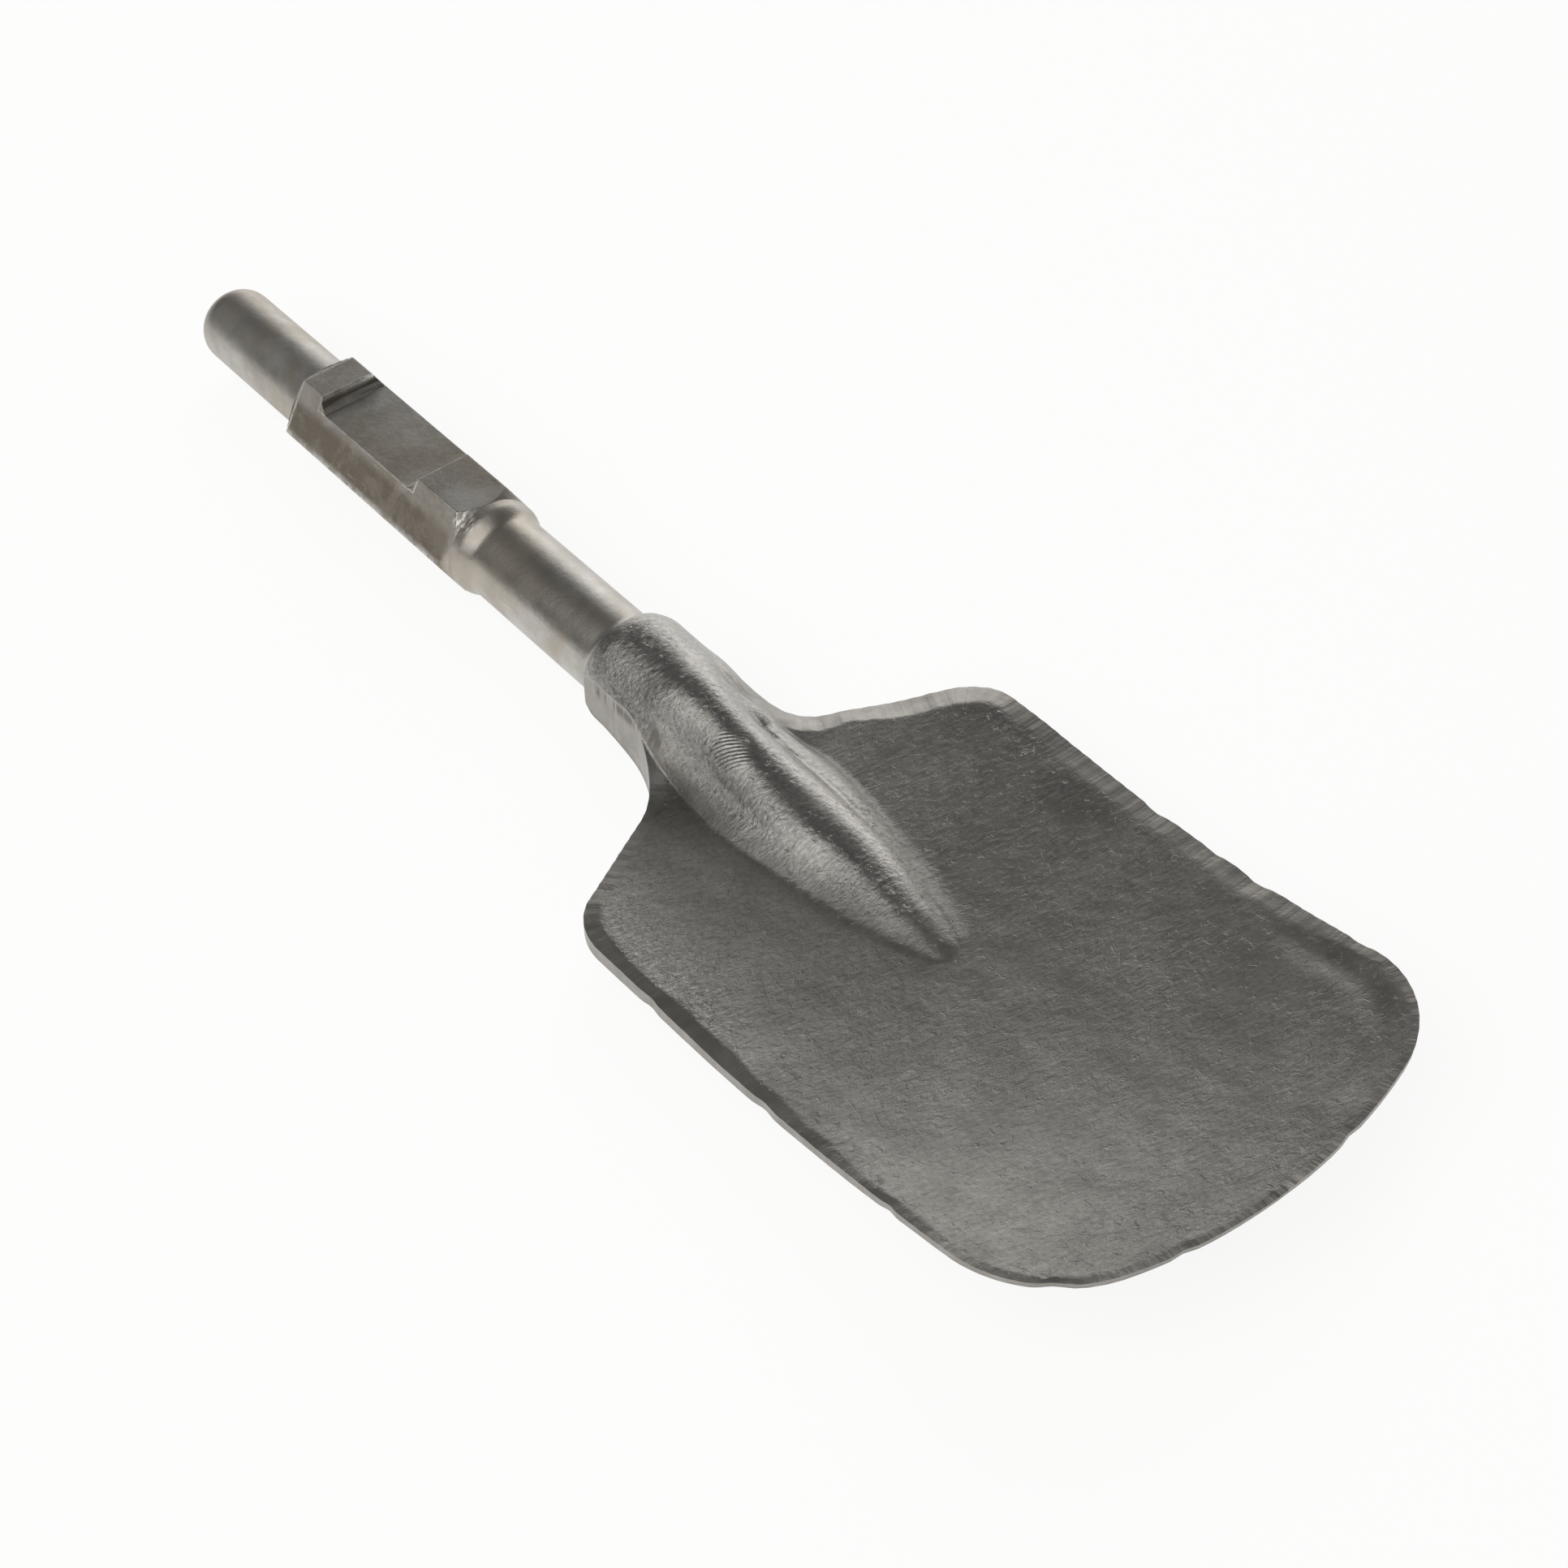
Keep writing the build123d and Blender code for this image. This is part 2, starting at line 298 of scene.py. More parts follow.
def skin_top(x, y):
    """Height of the upper side, with the boss, the pad and its ridge."""
    half = np.maximum(pad_foot(x), 0.3)
    edge = np.minimum(pad_edge, half / 4)
    inner = half - edge
    ridge_foot = np.maximum(np.minimum(ridge_half, inner * 0.95), 0.1)
    foot_z = hollow_face(x, half)
    held_up = (neck_rim_z - foot_z) * (1 - ease(x, *pad_hold_over)) * pad_hold
    high = pad_high - pad_thinner * ease(x, *pad_thinner_over)
    sinking = np.clip((x - pad_sink_from) / (rib_end - pad_sink_from), 0, None)
    pad_z = foot_z + held_up + high - (high + pad_sunk) * sinking
    shelf_z = pad_z + shelf_slope * (inner - ridge_foot)
    fall = soft_max(np.clip((x - ridge_break) / ridge_run, 0, 1), 0 * x, 0.12)
    ridge_z = floor_z + (boss_r - floor_z) * (1 - fall) ** ridge_sag
    ridge_z = ridge_z + ridge_blunt * ease(x, *blunt_over) * (1 - ease(x, *blunt_gone_over))
    ridge_z = soft_max(ridge_z, shelf_z, ridge_round)
    off_crest = np.abs(y + crest_off * ease(x, *crest_off_over))
    ridge = ridge_z - (ridge_z - shelf_z + 0.02) * (off_crest / ridge_foot) ** ridge_flank
    shelf = pad_z + shelf_slope * (inner - np.maximum(np.abs(y), ridge_foot))
    bank = foot_z + (half - np.abs(y)) * (high + held_up) / edge
    tiers = soft_min(soft_max(ridge, shelf, shelf_round), bank, bank_round)
    tiers = tiers - end_fall * np.clip(x - end_fall_from, 0, None)
    tiers = soft_max(tiers, hollow_face(x, y), crease_r + crease_more * ease(x, *crease_more_over))
    round_top = boss_round(x, y)
    return round_top + (tiers - round_top) * ease(x, tiers_from, tiers_full)


# Underside of the blade: forged plain, thick at the neck and thin at the cutting edge, and level
# along its middle, where the blade rests on the ground
side_thick, side_thick_at, tip_thick = 5.2, 228.0, 1.6
rest_half, rest_half_at_tip = 28.0, 6.0
neck_bottom, plate_proud, underside_full = 12.5, 0.2, 178
neck_thick = neck_bottom + plate_proud + floor_z - neck_drop


def skin_under(x, y):
    """Height of the underside, from the boss to the plate."""
    thinning = np.clip((side_thick_at - x) / (side_thick_at - neck_thick_at), 0, 1)
    near = side_thick + (neck_thick - side_thick) * thinning
    far = side_thick - (side_thick - tip_thick) * (x - side_thick_at) / (tip_x - side_thick_at)
    rise = dish_rise + (dish_rise_at_tip - dish_rise) * scooped(x)
    rest = rest_half + (rest_half_at_tip - rest_half) * scooped(x)
    curl = rise * (np.clip(np.abs(y) - rest, 0, None) / (blade_half - rest)) ** 2
    plate = floor_height(x) - np.where(x < side_thick_at, near, far) + curl
    round_under = -boss_round(x, y)
    return round_under + (plate - round_under) * ease(x, boss_start + boss_full_in, underside_full)


# Rings of the boss, neck and blade. Their points crowd at the foot of the pad and in the rim, and
# the rings bow forward, so that the last one is the cutting edge.
ring_pitch = 1.0
rim_band, rim_band_share, least_foot = 5.0, 0.12, 6.0
bow_from, spread_over, boss_tuck_in = 150, (150, 186), 0.4
ring_runs = np.append(np.arange(0, split_run, ring_pitch)[:-1], split_run)
boss_spread = np.sin(np.radians(half_turns)) / sin(radians(side_turn))
blade_rings = []
for run in ring_runs:
    end_x, end_y = np.interp(run, outline_run, outline_x), np.interp(run, outline_run, outline_y)
    swell = sin(pi / 2 * min((end_x - boss_start) / boss_full_in, 1))
    half = end_y - boss_tuck_in * (1 - swell)
    rim = min(rim_band, rim_band_share * half)
    bow = ease(run, bow_from, split_run)

    def bowed(y):
        return end_x + bow * (tip_line(y * split_y / half) - split_x)

    foot = float(pad_foot(end_x))
    for _ in range(3):
        foot = float(pad_foot(bowed(foot)))
    foot = min(max(foot, least_foot), half - 1.5 * rim)
    spread = np.concatenate([
        np.linspace(0, foot, 27), np.linspace(foot, half - rim, 39)[1:],
        np.linspace(half - rim, half, 9)[1:]]) / half
    spread = boss_spread + (spread - boss_spread) * ease(end_x, *spread_over)
    top_y = half * np.concatenate([-spread[::-1], spread[1:]])
    under_half_y = half * np.interp(np.linspace(0, 72, 25), np.arange(73), spread)
    under_y = np.concatenate([under_half_y[::-1], -under_half_y[1:]])
    top_x, under_x = bowed(top_y), bowed(under_y)
    top_z, under_z = skin_top(top_x, top_y), skin_under(under_x, under_y)
    down = np.linspace(0, 1, side_count + 2)[1:-1]
    right_z = top_z[-1] + (under_z[0] - top_z[-1]) * down
    left_z = under_z[-1] + (top_z[0] - under_z[-1]) * down
    side_x, side_y = np.full(side_count, top_x[-1]), np.full(side_count, half)
    blade_rings.append(np.stack([
        np.concatenate([top_x, side_x, under_x, side_x]),
        np.concatenate([top_y, side_y, under_y, -side_y]),
        np.concatenate([top_z, right_z, under_z, left_z])], 1))

rings = np.array(shank_rings + blade_rings)
ring_total, first_blade = len(rings), len(shank_rings)
points = rings.reshape(-1, 3)

# Ground rim: the edge of the blade is dressed on a grinding wheel after forging. The bevel wanders,
# it is wider on one side than the other, and the edge has a few nicks and chips from use.
bevel_shoulder, bevel_right, bevel_left, bevel_tip = 8.5, 6.2, 4.4, 2.4
shoulder_over, tip_over_right, tip_over_left = (205, 245), (310, 378), (265, 335)
bevel_fall_neck, bevel_fall_right, bevel_fall_left = 0.34, 0.15, 0.24
neck_fall_over, right_fall_over = (172, 200), (205, 240)
grind_over_right, grind_over_left, bright_over = (158, 172), (163, 188), (168, 184)
wander_share, wander_size, wander_fine, wander_fine_size = 0.34, 14.0, 0.3, 4.5
outline_both = np.concatenate([np.stack([outline_x, outline_y], 1), np.stack([outline_x, -outline_y], 1)])
run_both = np.concatenate([outline_run, -outline_run])
from_rim = np.full(len(points), 99.0)
rim_run = np.zeros(len(points))
blade_part = np.nonzero(points[:, 0] > 160)[0]
for start in range(0, len(blade_part), 2000):
    some = blade_part[start:start + 2000]
    away = np.hypot(points[some, None, 0] - outline_both[None, :, 0],
                    points[some, None, 1] - outline_both[None, :, 1])
    nearest = away.argmin(1)
    from_rim[some] = away[np.arange(len(some)), nearest]
    rim_run[some] = run_both[nearest]

ring_place = np.tile(np.arange(ring_count), ring_total)
under_first, left_first = top_count + side_count, top_count + side_count + under_count
on_top = ring_place < top_count
on_side = ((ring_place >= top_count) & (ring_place < under_first)) | (ring_place >= left_first)


def waves(places, size, seed):
    """Smooth random height from -1 to 1 at each place, with features of about that size."""
    shift = Vector((seed, 2.3 * seed, 0.7 * seed))
    return np.array([noise.noise(Vector(p) / size + shift) for p in places])


x_at, to_right = points[:, 0], points[:, 1] > 0
rim_places = np.stack([rim_run, np.zeros(len(points)), np.zeros(len(points))], 1)
near_rim = on_top & (from_rim < 16) & (x_at > 150)
wander = np.zeros(len(points))
wander[near_rim] = (waves(rim_places[near_rim], wander_size, 3.1)
                    + wander_fine * waves(rim_places[near_rim], wander_fine_size, 8.7))
right_bevel = bevel_shoulder + (bevel_right - bevel_shoulder) * ease(x_at, *shoulder_over)
bevel = np.where(to_right, right_bevel, bevel_left)
to_tip = np.where(to_right, ease(x_at, *tip_over_right), ease(x_at, *tip_over_left))
wide = np.clip((bevel + (bevel_tip - bevel) * to_tip) * (1 + wander_share * wander), 1.0, None)

# On the right of the neck a flat web runs down to the rim, first from the flank of the ridge and
# further on from the top edge of the pad
web_from, web_from_over, web_round = 8.5, (182, 206), 0.8
web_starts_over, web_ends_over = (158, 168), (184, 203)
top_part = rings[first_blade:, :top_count]
top_x, top_y, top_z = top_part[..., 0], top_part[..., 1], top_part[..., 2]
inner = web_from + (pad_foot(top_x) - pad_edge - web_from) * ease(top_x, *web_from_over)
inner_z = skin_top(top_x, inner)
rim_y, rim_z = top_part[:, -1:, 1], top_part[:, -1:, 2]
toward_pad = np.clip((rim_y - top_y) / np.maximum(rim_y - inner, 0.5), 0, 1)
web_z = soft_max(top_z, rim_z + (inner_z - rim_z) * toward_pad, web_round)
web_share = ease(top_x, *web_starts_over) * (1 - ease(top_x, *web_ends_over))
top_part[..., 2] += web_share * (web_z - top_z) * ease(top_y - inner, -2.5, 0)

grind = np.where(on_top & (x_at > 150), np.clip(1 - from_rim / wide, 0, 1), 0)
grind = grind * np.where(to_right, ease(x_at, *grind_over_right), ease(x_at, *grind_over_left))
right_fall = bevel_fall_neck * ease(x_at, *neck_fall_over)
right_fall = right_fall - (bevel_fall_neck - bevel_fall_right) * ease(x_at, *right_fall_over)
points[:, 2] -= np.where(to_right, right_fall, bevel_fall_left) * wide * grind
ground = np.where(on_top, np.clip((wide - from_rim) / 0.7, 0, 1), 0) * ease(x_at, *bright_over)
ground[on_side & (x_at > boss_start + 0.1)] = 1

# A shallow hollow lies along the inside of the rim at the far corner
hollow_depth, hollow_from_rim, hollow_wide = 0.8, 8.5, 4.0
hollow_along, hollow_across = (325, 350), (22, 40)
corner_part = ease(x_at, *hollow_along) * ease(points[:, 1], *hollow_across) * on_top
points[:, 2] -= hollow_depth * np.exp(-((from_rim - hollow_from_rim) / hollow_wide) ** 2) * corner_part

# Nicks and chips: place along and across the blade, how wide, how deep
nicks = [
    (281.5, 70.0, 3.6, 0.6), (318.3, 69.6, 4.4, 0.8), (303, 69.8, 3.0, 0.4), (380.6, -60.5, 3.6, 1.1),
    (352, 69.0, 3.2, 0.4), (246, -70.2, 2.4, 0.5), (290, -69.9, 3.0, 0.6), (335, -69.5, 2.0, 0.5),
    (391.2, 22, 2.6, 0.7), (390.5, -30, 2.4, 0.6)]
blade_middle, tip_nicks_from, nick_sag = 300, 370, 0.4
for nick_x, nick_y, nick_wide, nick_deep in nicks:
    away = np.hypot(points[:, 0] - nick_x, points[:, 1] - nick_y)
    dent = nick_deep * np.exp(-(away / nick_wide) ** 2)
    inward = np.array([0, -np.sign(nick_y)])
    if nick_x > tip_nicks_from:
        inward = np.array([blade_middle - nick_x, -nick_y])
        inward = inward / np.hypot(*inward)
    points[:, :2] += dent[:, None] * inward
    points[:, 2] -= nick_sag * dent * on_top

# Hammered skin: the forging keeps long shallow dents from the hammer, and shorter ones among them
long_dents, long_dents_size, short_dents, short_dents_size = 0.28, 26.0, 0.12, 9.0
forged = ease(points[:, 0], boss_start - 0.5, boss_start + 1.5) * (1 - ground)
forged[on_side] = 0
hammered = points[:, 0] > boss_start
dents = np.zeros(len(points))
dents[hammered] = (long_dents * waves(points[hammered], long_dents_size, 5.5)
                   + short_dents * waves(points[hammered], short_dents_size, 1.9))
dents = dents * ease(points[:, 0], boss_start, boss_start + 8)
points[:, 2] += dents * np.where(on_top, 1 - grind, 0.6)

# The edge face of the blade drops straight from the finished rim to the underside
for step in range(side_count):
    down = (step + 1) / (side_count + 1)
    rings[first_blade:, top_count + step] = (
        (1 - down) * rings[first_blade:, top_count - 1] + down * rings[first_blade:, under_first])
    rings[first_blade:, left_first + step] = (
        (1 - down) * rings[first_blade:, left_first - 1] + down * rings[first_blade:, 0])

# Painted highlights along edges, partly wear rubbed bright in the breaker: the corners of the hexagon,
# its front end, and the edges of the notch
worn_edge_highlight = np.zeros((ring_total, ring_count))
place_x = rings[:, 0, 0]
turn_deg = np.degrees(ring_turns)
corner_turns = np.abs(np.mod(turn_deg, 60) - 30) < 0.4
upper = np.abs(np.mod(turn_deg + 180, 360) - 180)
in_hexagon = (place_x > -0.3) & (place_x < hex_long + 0.3)
in_notch = (place_x > notch_start) & (place_x < notch_end)
worn_edge_highlight[np.ix_(in_hexagon & ~in_notch, corner_turns)] = 1
worn_edge_highlight[np.ix_(in_notch, corner_turns & (upper > 40))] = 1
worn_edge_highlight[np.ix_(in_notch, np.abs(upper - notch_turn) < 0.3)] = 1
for edge_x in (notch_start, notch_end):
    worn_edge_highlight[np.ix_(np.abs(place_x - edge_x) < 0.15, upper < 45)] = 1
worn_edge_highlight[np.abs(place_x) < 0.1] = 1
worn_edge_highlight = worn_edge_highlight.ravel()

# Skin of the net, with outward faces, closed at the nose and along the cutting edge. Each point
# carries how far it is ground, forged and worn bright with a painted edge highlight, and its place along
# the rim.
ring_first = np.arange(ring_total - 1)[:, None] * ring_count
here = ring_first + np.arange(ring_count)
beside = ring_first + (np.arange(ring_count) + 1) % ring_count
faces = np.stack([here, here + ring_count, beside + ring_count, beside], 2).reshape(-1, 4).tolist()
nose_point = len(points)
points = np.concatenate([points, [[-nose_long, 0, 0]]])
faces += [(nose_point, i, (i + 1) % ring_count) for i in range(ring_count)]
last = (ring_total - 1) * ring_count
for step in range(under_count - 1):
    wall = [last + top_count - 1 - 3 * step - i for i in range(4)]
    if step == under_count - 2:
        wall += [last + ring_count - 1 - i for i in range(side_count)]
    wall += [last + under_first + step + 1, last + under_first + step]
    if step == 0:
        wall += [last + under_first - 1 - i for i in range(side_count)]
    faces.append(wall)

mm = 0.001
net_mesh = bpy.data.meshes.new("forging_net")
net_mesh.from_pydata((points * mm).tolist(), [], faces)
net_mesh.validate()
net_mesh.update()
net = bmesh.new()
net.from_mesh(net_mesh)
bmesh.ops.recalc_face_normals(net, faces=net.faces)
net.to_mesh(net_mesh)
net.free()
for name, values in (("ground", ground), ("rim_run", rim_run), ("forged", forged), ("worn_edge_highlight", worn_edge_highlight)):
    layer = net_mesh.attributes.new(name, "FLOAT", "POINT")
    layer.data.foreach_set("value", np.append(values, values[0]).astype(np.float32))
net_mesh.shade_smooth()
net_mesh.set_sharp_from_angle(angle=radians(26))
forging = bpy.data.objects.new("forging_net", net_mesh)
bpy.context.scene.collection.objects.link(forging)

# Steel: dark scale is left on the forged blade, the shank is turned and has a brown film, the flats of
# the hexagon are mottled, and the rim shows the fresher metal and the marks of the grinding wheel.
steel = bpy.data.materials.new("forged_steel")
steel.use_nodes = True
nodes, links = steel.node_tree.nodes, steel.node_tree.links
shader = nodes["Principled BSDF"]
shader.inputs["Metallic"].default_value = 1.0
place = nodes.new("ShaderNodeTexCoord").outputs["Object"]


def arithmetic(operation, a, b=0.0):
    """A node that works on two values, each a number or another node's output."""
    node = nodes.new("ShaderNodeMath")
    node.operation = operation
    for socket, value in zip(node.inputs, (a, b)):
        if isinstance(value, (int, float)):
            socket.default_value = value
        else:
            links.new(value, socket)
    return node.outputs[0]


def times(first, *others):
    for other in others:
        first = arithmetic("MULTIPLY", first, other)
    return first


def plus(first, *others):
    for other in others:
        first = arithmetic("ADD", first, other)
    return first


def minus(a, b):
    return arithmetic("SUBTRACT", a, b)


def mottle(size, detail=6.0, rough=0.6, twist=0.0, stretch=(1, 1, 1)):
    """Noise over the steel with features of about that size in millimetres."""
    mapping = nodes.new("ShaderNodeMapping")
    mapping.inputs["Scale"].default_value = stretch
    links.new(place, mapping.inputs["Vector"])
    node = nodes.new("ShaderNodeTexNoise")
    links.new(mapping.outputs[0], node.inputs["Vector"])
    node.inputs["Scale"].default_value = 1000.0 / size
    node.inputs["Detail"].default_value = detail
    node.inputs["Roughness"].default_value = rough
    node.inputs["Distortion"].default_value = twist
    return node.outputs["Fac"]


def bands(scale, twist, detail, detail_scale=1.0, turn=0.0):
    """Parallel marks across the shank, or turned from there about the upright axis."""
    mapping = nodes.new("ShaderNodeMapping")
    mapping.inputs["Rotation"].default_value = (0, 0, turn)
    links.new(place, mapping.inputs["Vector"])
    node = nodes.new("ShaderNodeTexWave")
    node.bands_direction = "X"
    links.new(mapping.outputs[0], node.inputs["Vector"])
    node.inputs["Scale"].default_value = scale
    node.inputs["Distortion"].default_value = twist
    node.inputs["Detail"].default_value = detail
    node.inputs["Detail Scale"].default_value = detail_scale
    return node.outputs["Fac"]


def between(value, low, high, from_value=0.0, to_value=1.0):
    """One value below low, the other above high, and smooth in between."""
    node = nodes.new("ShaderNodeMapRange")
    node.interpolation_type = "SMOOTHSTEP"
    links.new(value, node.inputs["Value"])
    ends = (("From Min", low), ("From Max", high), ("To Min", from_value), ("To Max", to_value))
    for socket, number in ends:
        node.inputs[socket].default_value = number
    return node.outputs["Result"]


def near_spot(spot, outer, inner):
    """1 within the inner distance of a spot, and 0 beyond the outer one."""
    node = nodes.new("ShaderNodeVectorMath")
    node.operation = "DISTANCE"
    links.new(place, node.inputs[0])
    node.inputs[1].default_value = spot
    return between(node.outputs["Value"], outer, inner)


def tinted(amount, under, over):
    """One colour laid over another by an amount from 0 to 1."""
    node = nodes.new("ShaderNodeMix")
    node.data_type = "RGBA"
    links.new(amount, node.inputs["Factor"])
    for socket, colour in (("A", under), ("B", over)):
        if isinstance(colour, tuple):
            node.inputs[socket].default_value = colour
        else:
            links.new(colour, node.inputs[socket])
    return node.outputs["Result"]


def marked(name):
    """A value that each point of the skin carries."""
    node = nodes.new("ShaderNodeAttribute")
    node.attribute_name = name
    return node.outputs["Fac"]


# Where things are on the steel, in metres
apart = nodes.new("ShaderNodeSeparateXYZ")
links.new(place, apart.inputs[0])
along, across, upwards = apart.outputs
forged_mark, ground_mark, run_mark = marked("forged"), marked("ground"), marked("rim_run")
turned_mark = minus(1.0, between(along, 0.144, 0.148))
on_hexagon = times(between(along, -0.004, -0.002), between(along, 0.078, 0.081, 1.0, 0.0))
on_flank = between(upwards, 0.0075, 0.0108, 1.0, 0.0)
on_rib = times(between(along, 0.290, 0.262), between(upwards, -0.001, 0.003), forged_mark)
# Left bank of the rib, which takes a painted highlight and extra relief
bank_highlight_zone = times(between(across, -0.0110, -0.0135), between(along, 0.170, 0.178),
                between(along, 0.270, 0.235), on_rib)
# Spot of a scuff behind the hexagon, which also carries a painted glint
scuff_glint_spot = near_spot((0.0815, -0.0082, 0.0138), 0.0050, 0.0020)
torn = mottle(0.8, 3, 0.6, 0.2, (1.0, 0.3, 0.5))
chattered = near_spot((0.199, -0.0075, 0.0125), 0.0080, 0.0035)

# Scale on the forged steel, cleaner on the rib, and a painted highlight on its left bank
scale_dark, scale_light = (0.285, 0.272, 0.250, 1), (0.335, 0.322, 0.298, 1)
rib_steel, bank_highlight = (0.42, 0.405, 0.378, 1), (0.56, 0.54, 0.505, 1)
speckle_dark = (0.19, 0.183, 0.17, 1)
colour = tinted(between(mottle(16, 8, 0.62, 0.4), 0.36, 0.64), scale_dark, scale_light)
colour = tinted(on_rib, colour, rib_steel)
# Painted highlight: a lighter colour laid on the left bank of the rib
colour = tinted(times(bank_highlight_zone, 0.5), colour, bank_highlight)
colour = tinted(times(between(mottle(1.5, 4, 0.7), 0.35, 0.7), 0.45), colour, speckle_dark)

# Turned shank, with a brown film that has dried on it in patches
turned_dark, turned_light = (0.43, 0.41, 0.375, 1), (0.53, 0.51, 0.475, 1)
film_brown = (0.40, 0.345, 0.275, 1)
turned_colour = tinted(between(mottle(9, 7, 0.65), 0.35, 0.65), turned_dark, turned_light)
colour = tinted(turned_mark, colour, turned_colour)
brown_film = times(between(mottle(30, 7, 0.65, 0.8), 0.40, 0.62), turned_mark)
colour = tinted(times(brown_film, 0.6), colour, film_brown)

# Hexagon: a darker film and stains on its flanks, and dark streaks in the front step of the notch
flank_brown, stain_dark = (0.285, 0.245, 0.195, 1), (0.17, 0.14, 0.105, 1)
streak_dark = (0.12, 0.105, 0.09, 1)
colour = tinted(times(on_flank, on_hexagon, 0.85), colour, flank_brown)
stain = times(between(mottle(14, 9, 0.72, 0.5), 0.46, 0.56), on_hexagon)
stain = times(stain, between(on_flank, 0.0, 1.0, 0.35, 1.0))
colour = tinted(times(stain, 0.5), colour, stain_dark)
flank_turn = radians(30)
flank_depth = plus(times(arithmetic("ABSOLUTE", across), cos(flank_turn)), times(upwards, sin(flank_turn)))
in_step = times(between(along, 0.0100, 0.0106), between(along, 0.0136, 0.0148, 1.0, 0.0),
                between(flank_depth, 0.01465, 0.01485, 1.0, 0.0))
streak = times(between(mottle(1.0, 3, 0.5, 0.0, (1.0, 0.04, 1.0)), 0.40, 0.60), in_step)
colour = tinted(times(streak, 0.8), colour, streak_dark)

# Fresher metal of the ground rim, with a hatch of dark ticks under the left edge of the neck
rim_dark, rim_light = (0.30, 0.285, 0.26, 1), (0.37, 0.352, 0.325, 1)
tick_dark = (0.12, 0.10, 0.08, 1)
colour = tinted(ground_mark, colour, tinted(between(mottle(7, 6, 0.6), 0.35, 0.65), rim_dark, rim_light))
hatch_zone = times(between(along, 0.150, 0.154), between(along, 0.190, 0.180),
                   between(upwards, 0.0010, 0.0045), between(across, -0.0140, -0.0150))
hatch = between(mottle(1.3, 2, 0.5, 0.0, (1.0, 0.02, 0.06)), 0.45, 0.53)
colour = tinted(times(hatch, hatch_zone, ground_mark, 0.85), colour, tick_dark)

# Bright scratches on the turned part, a scuff behind the hexagon with a painted glint, and edges worn
# bright with a painted highlight
scratch_light, edge_wear_highlight = (0.68, 0.66, 0.62, 1), (0.88, 0.86, 0.82, 1)
scuff_dark, scuff_glint_light = (0.09, 0.08, 0.07, 1), (0.85, 0.83, 0.80, 1)
scratch = between(mottle(1.1, 2, 0.5, 0.0, (0.10, 1.0, 1.0)), 0.68, 0.76)
colour = tinted(times(scratch, turned_mark, 0.35), colour, scratch_light)
colour = tinted(times(scuff_glint_spot, between(torn, 0.36, 0.50, 0.5, 0.0)), colour, scuff_dark)
# Painted glint: near-white colour in the torn parts of the scuff
colour = tinted(times(scuff_glint_spot, between(torn, 0.53, 0.62)), colour, scuff_glint_light)
# Painted highlight along the marked edges, partly wear: a near-white colour
edge_wear_highlight_mark = times(marked("worn_edge_highlight"), between(mottle(5, 5, 0.7), 0.35, 0.6, 0.3, 1.0))
colour = tinted(edge_wear_highlight_mark, colour, edge_wear_highlight)
links.new(colour, shader.inputs["Base Color"])

# Gloss: the scale on the blade is duller in patches, and the rib, the rim and the shank are glossier
dull = between(mottle(12, 6, 0.6), 0.3, 0.7, 0.36, 0.44)
dull = minus(dull, plus(times(on_rib, 0.16), times(ground_mark, 0.03), times(turned_mark, 0.06)))
dull = plus(dull, times(between(along, 0.082, 0.088, 1.0, 0.0), 0.07))
links.new(dull, shader.inputs["Roughness"])

# Relief too fine for the mesh, in millimetres, each kind about its own mean: leathery wrinkles and
# pits of the scale, tool marks round the turned shank, marks of the wheel across the rim, and the
# chatter of a tool on the rib
wrinkle_blade, wrinkle_rib, crinkle_high, pit_deep = 0.30, 0.12, 0.26, 0.11
turning_high, turned_grain, wheel_high, wheel_grain = 0.010, 0.085, 0.16, 0.05
scuff_high, chatter_high = 0.12, 0.13
patchy = plus(between(mottle(45, 4, 0.6), 0.35, 0.65, 0.6, 1.3), times(bank_highlight_zone, 1.1))
wrinkle_high = between(on_rib, 0.0, 1.0, wrinkle_blade, wrinkle_rib)
wrinkle = times(minus(mottle(3.2, 7, 0.64, 0.6, (1.0, 0.55, 1.0)), 0.5), wrinkle_high)
crinkle = times(minus(mottle(1.3, 5, 0.64, 0.5, (1.0, 0.45, 1.0)), 0.5), crinkle_high)
pits = times(between(mottle(2.4, 3, 0.6, 0.3), 0.60, 0.72), pit_deep)
forged_relief = times(minus(plus(wrinkle, crinkle), pits), patchy, forged_mark)
turning = times(minus(bands(420.0, 2.5, 3.0, 0.35), 0.5), turning_high)
turned_relief = times(plus(turning, times(minus(mottle(1.9, 6, 0.68), 0.5), turned_grain)), turned_mark)
wheel = nodes.new("ShaderNodeCombineXYZ")
links.new(run_mark, wheel.inputs["X"])
wheel_marks = nodes.new("ShaderNodeTexNoise")
links.new(wheel.outputs[0], wheel_marks.inputs["Vector"])
wheel_marks.inputs["Scale"].default_value = 0.85
wheel_marks.inputs["Detail"].default_value = 3.0
wheel_relief = times(minus(wheel_marks.outputs["Fac"], 0.5), wheel_high)
ground_relief = times(plus(wheel_relief, times(minus(mottle(1.8, 4, 0.6), 0.5), wheel_grain)), ground_mark)
chatter = times(bands(330.0, 1.5, 2.0, turn=radians(39.6)), chattered, chatter_high)
relief = plus(forged_relief, turned_relief, ground_relief, times(torn, scuff_glint_spot, scuff_high), chatter)
bump = nodes.new("ShaderNodeBump")
bump.inputs["Strength"].default_value = 1.0
bump.inputs["Distance"].default_value = mm
links.new(relief, bump.inputs["Height"])
links.new(bump.outputs[0], shader.inputs["Normal"])

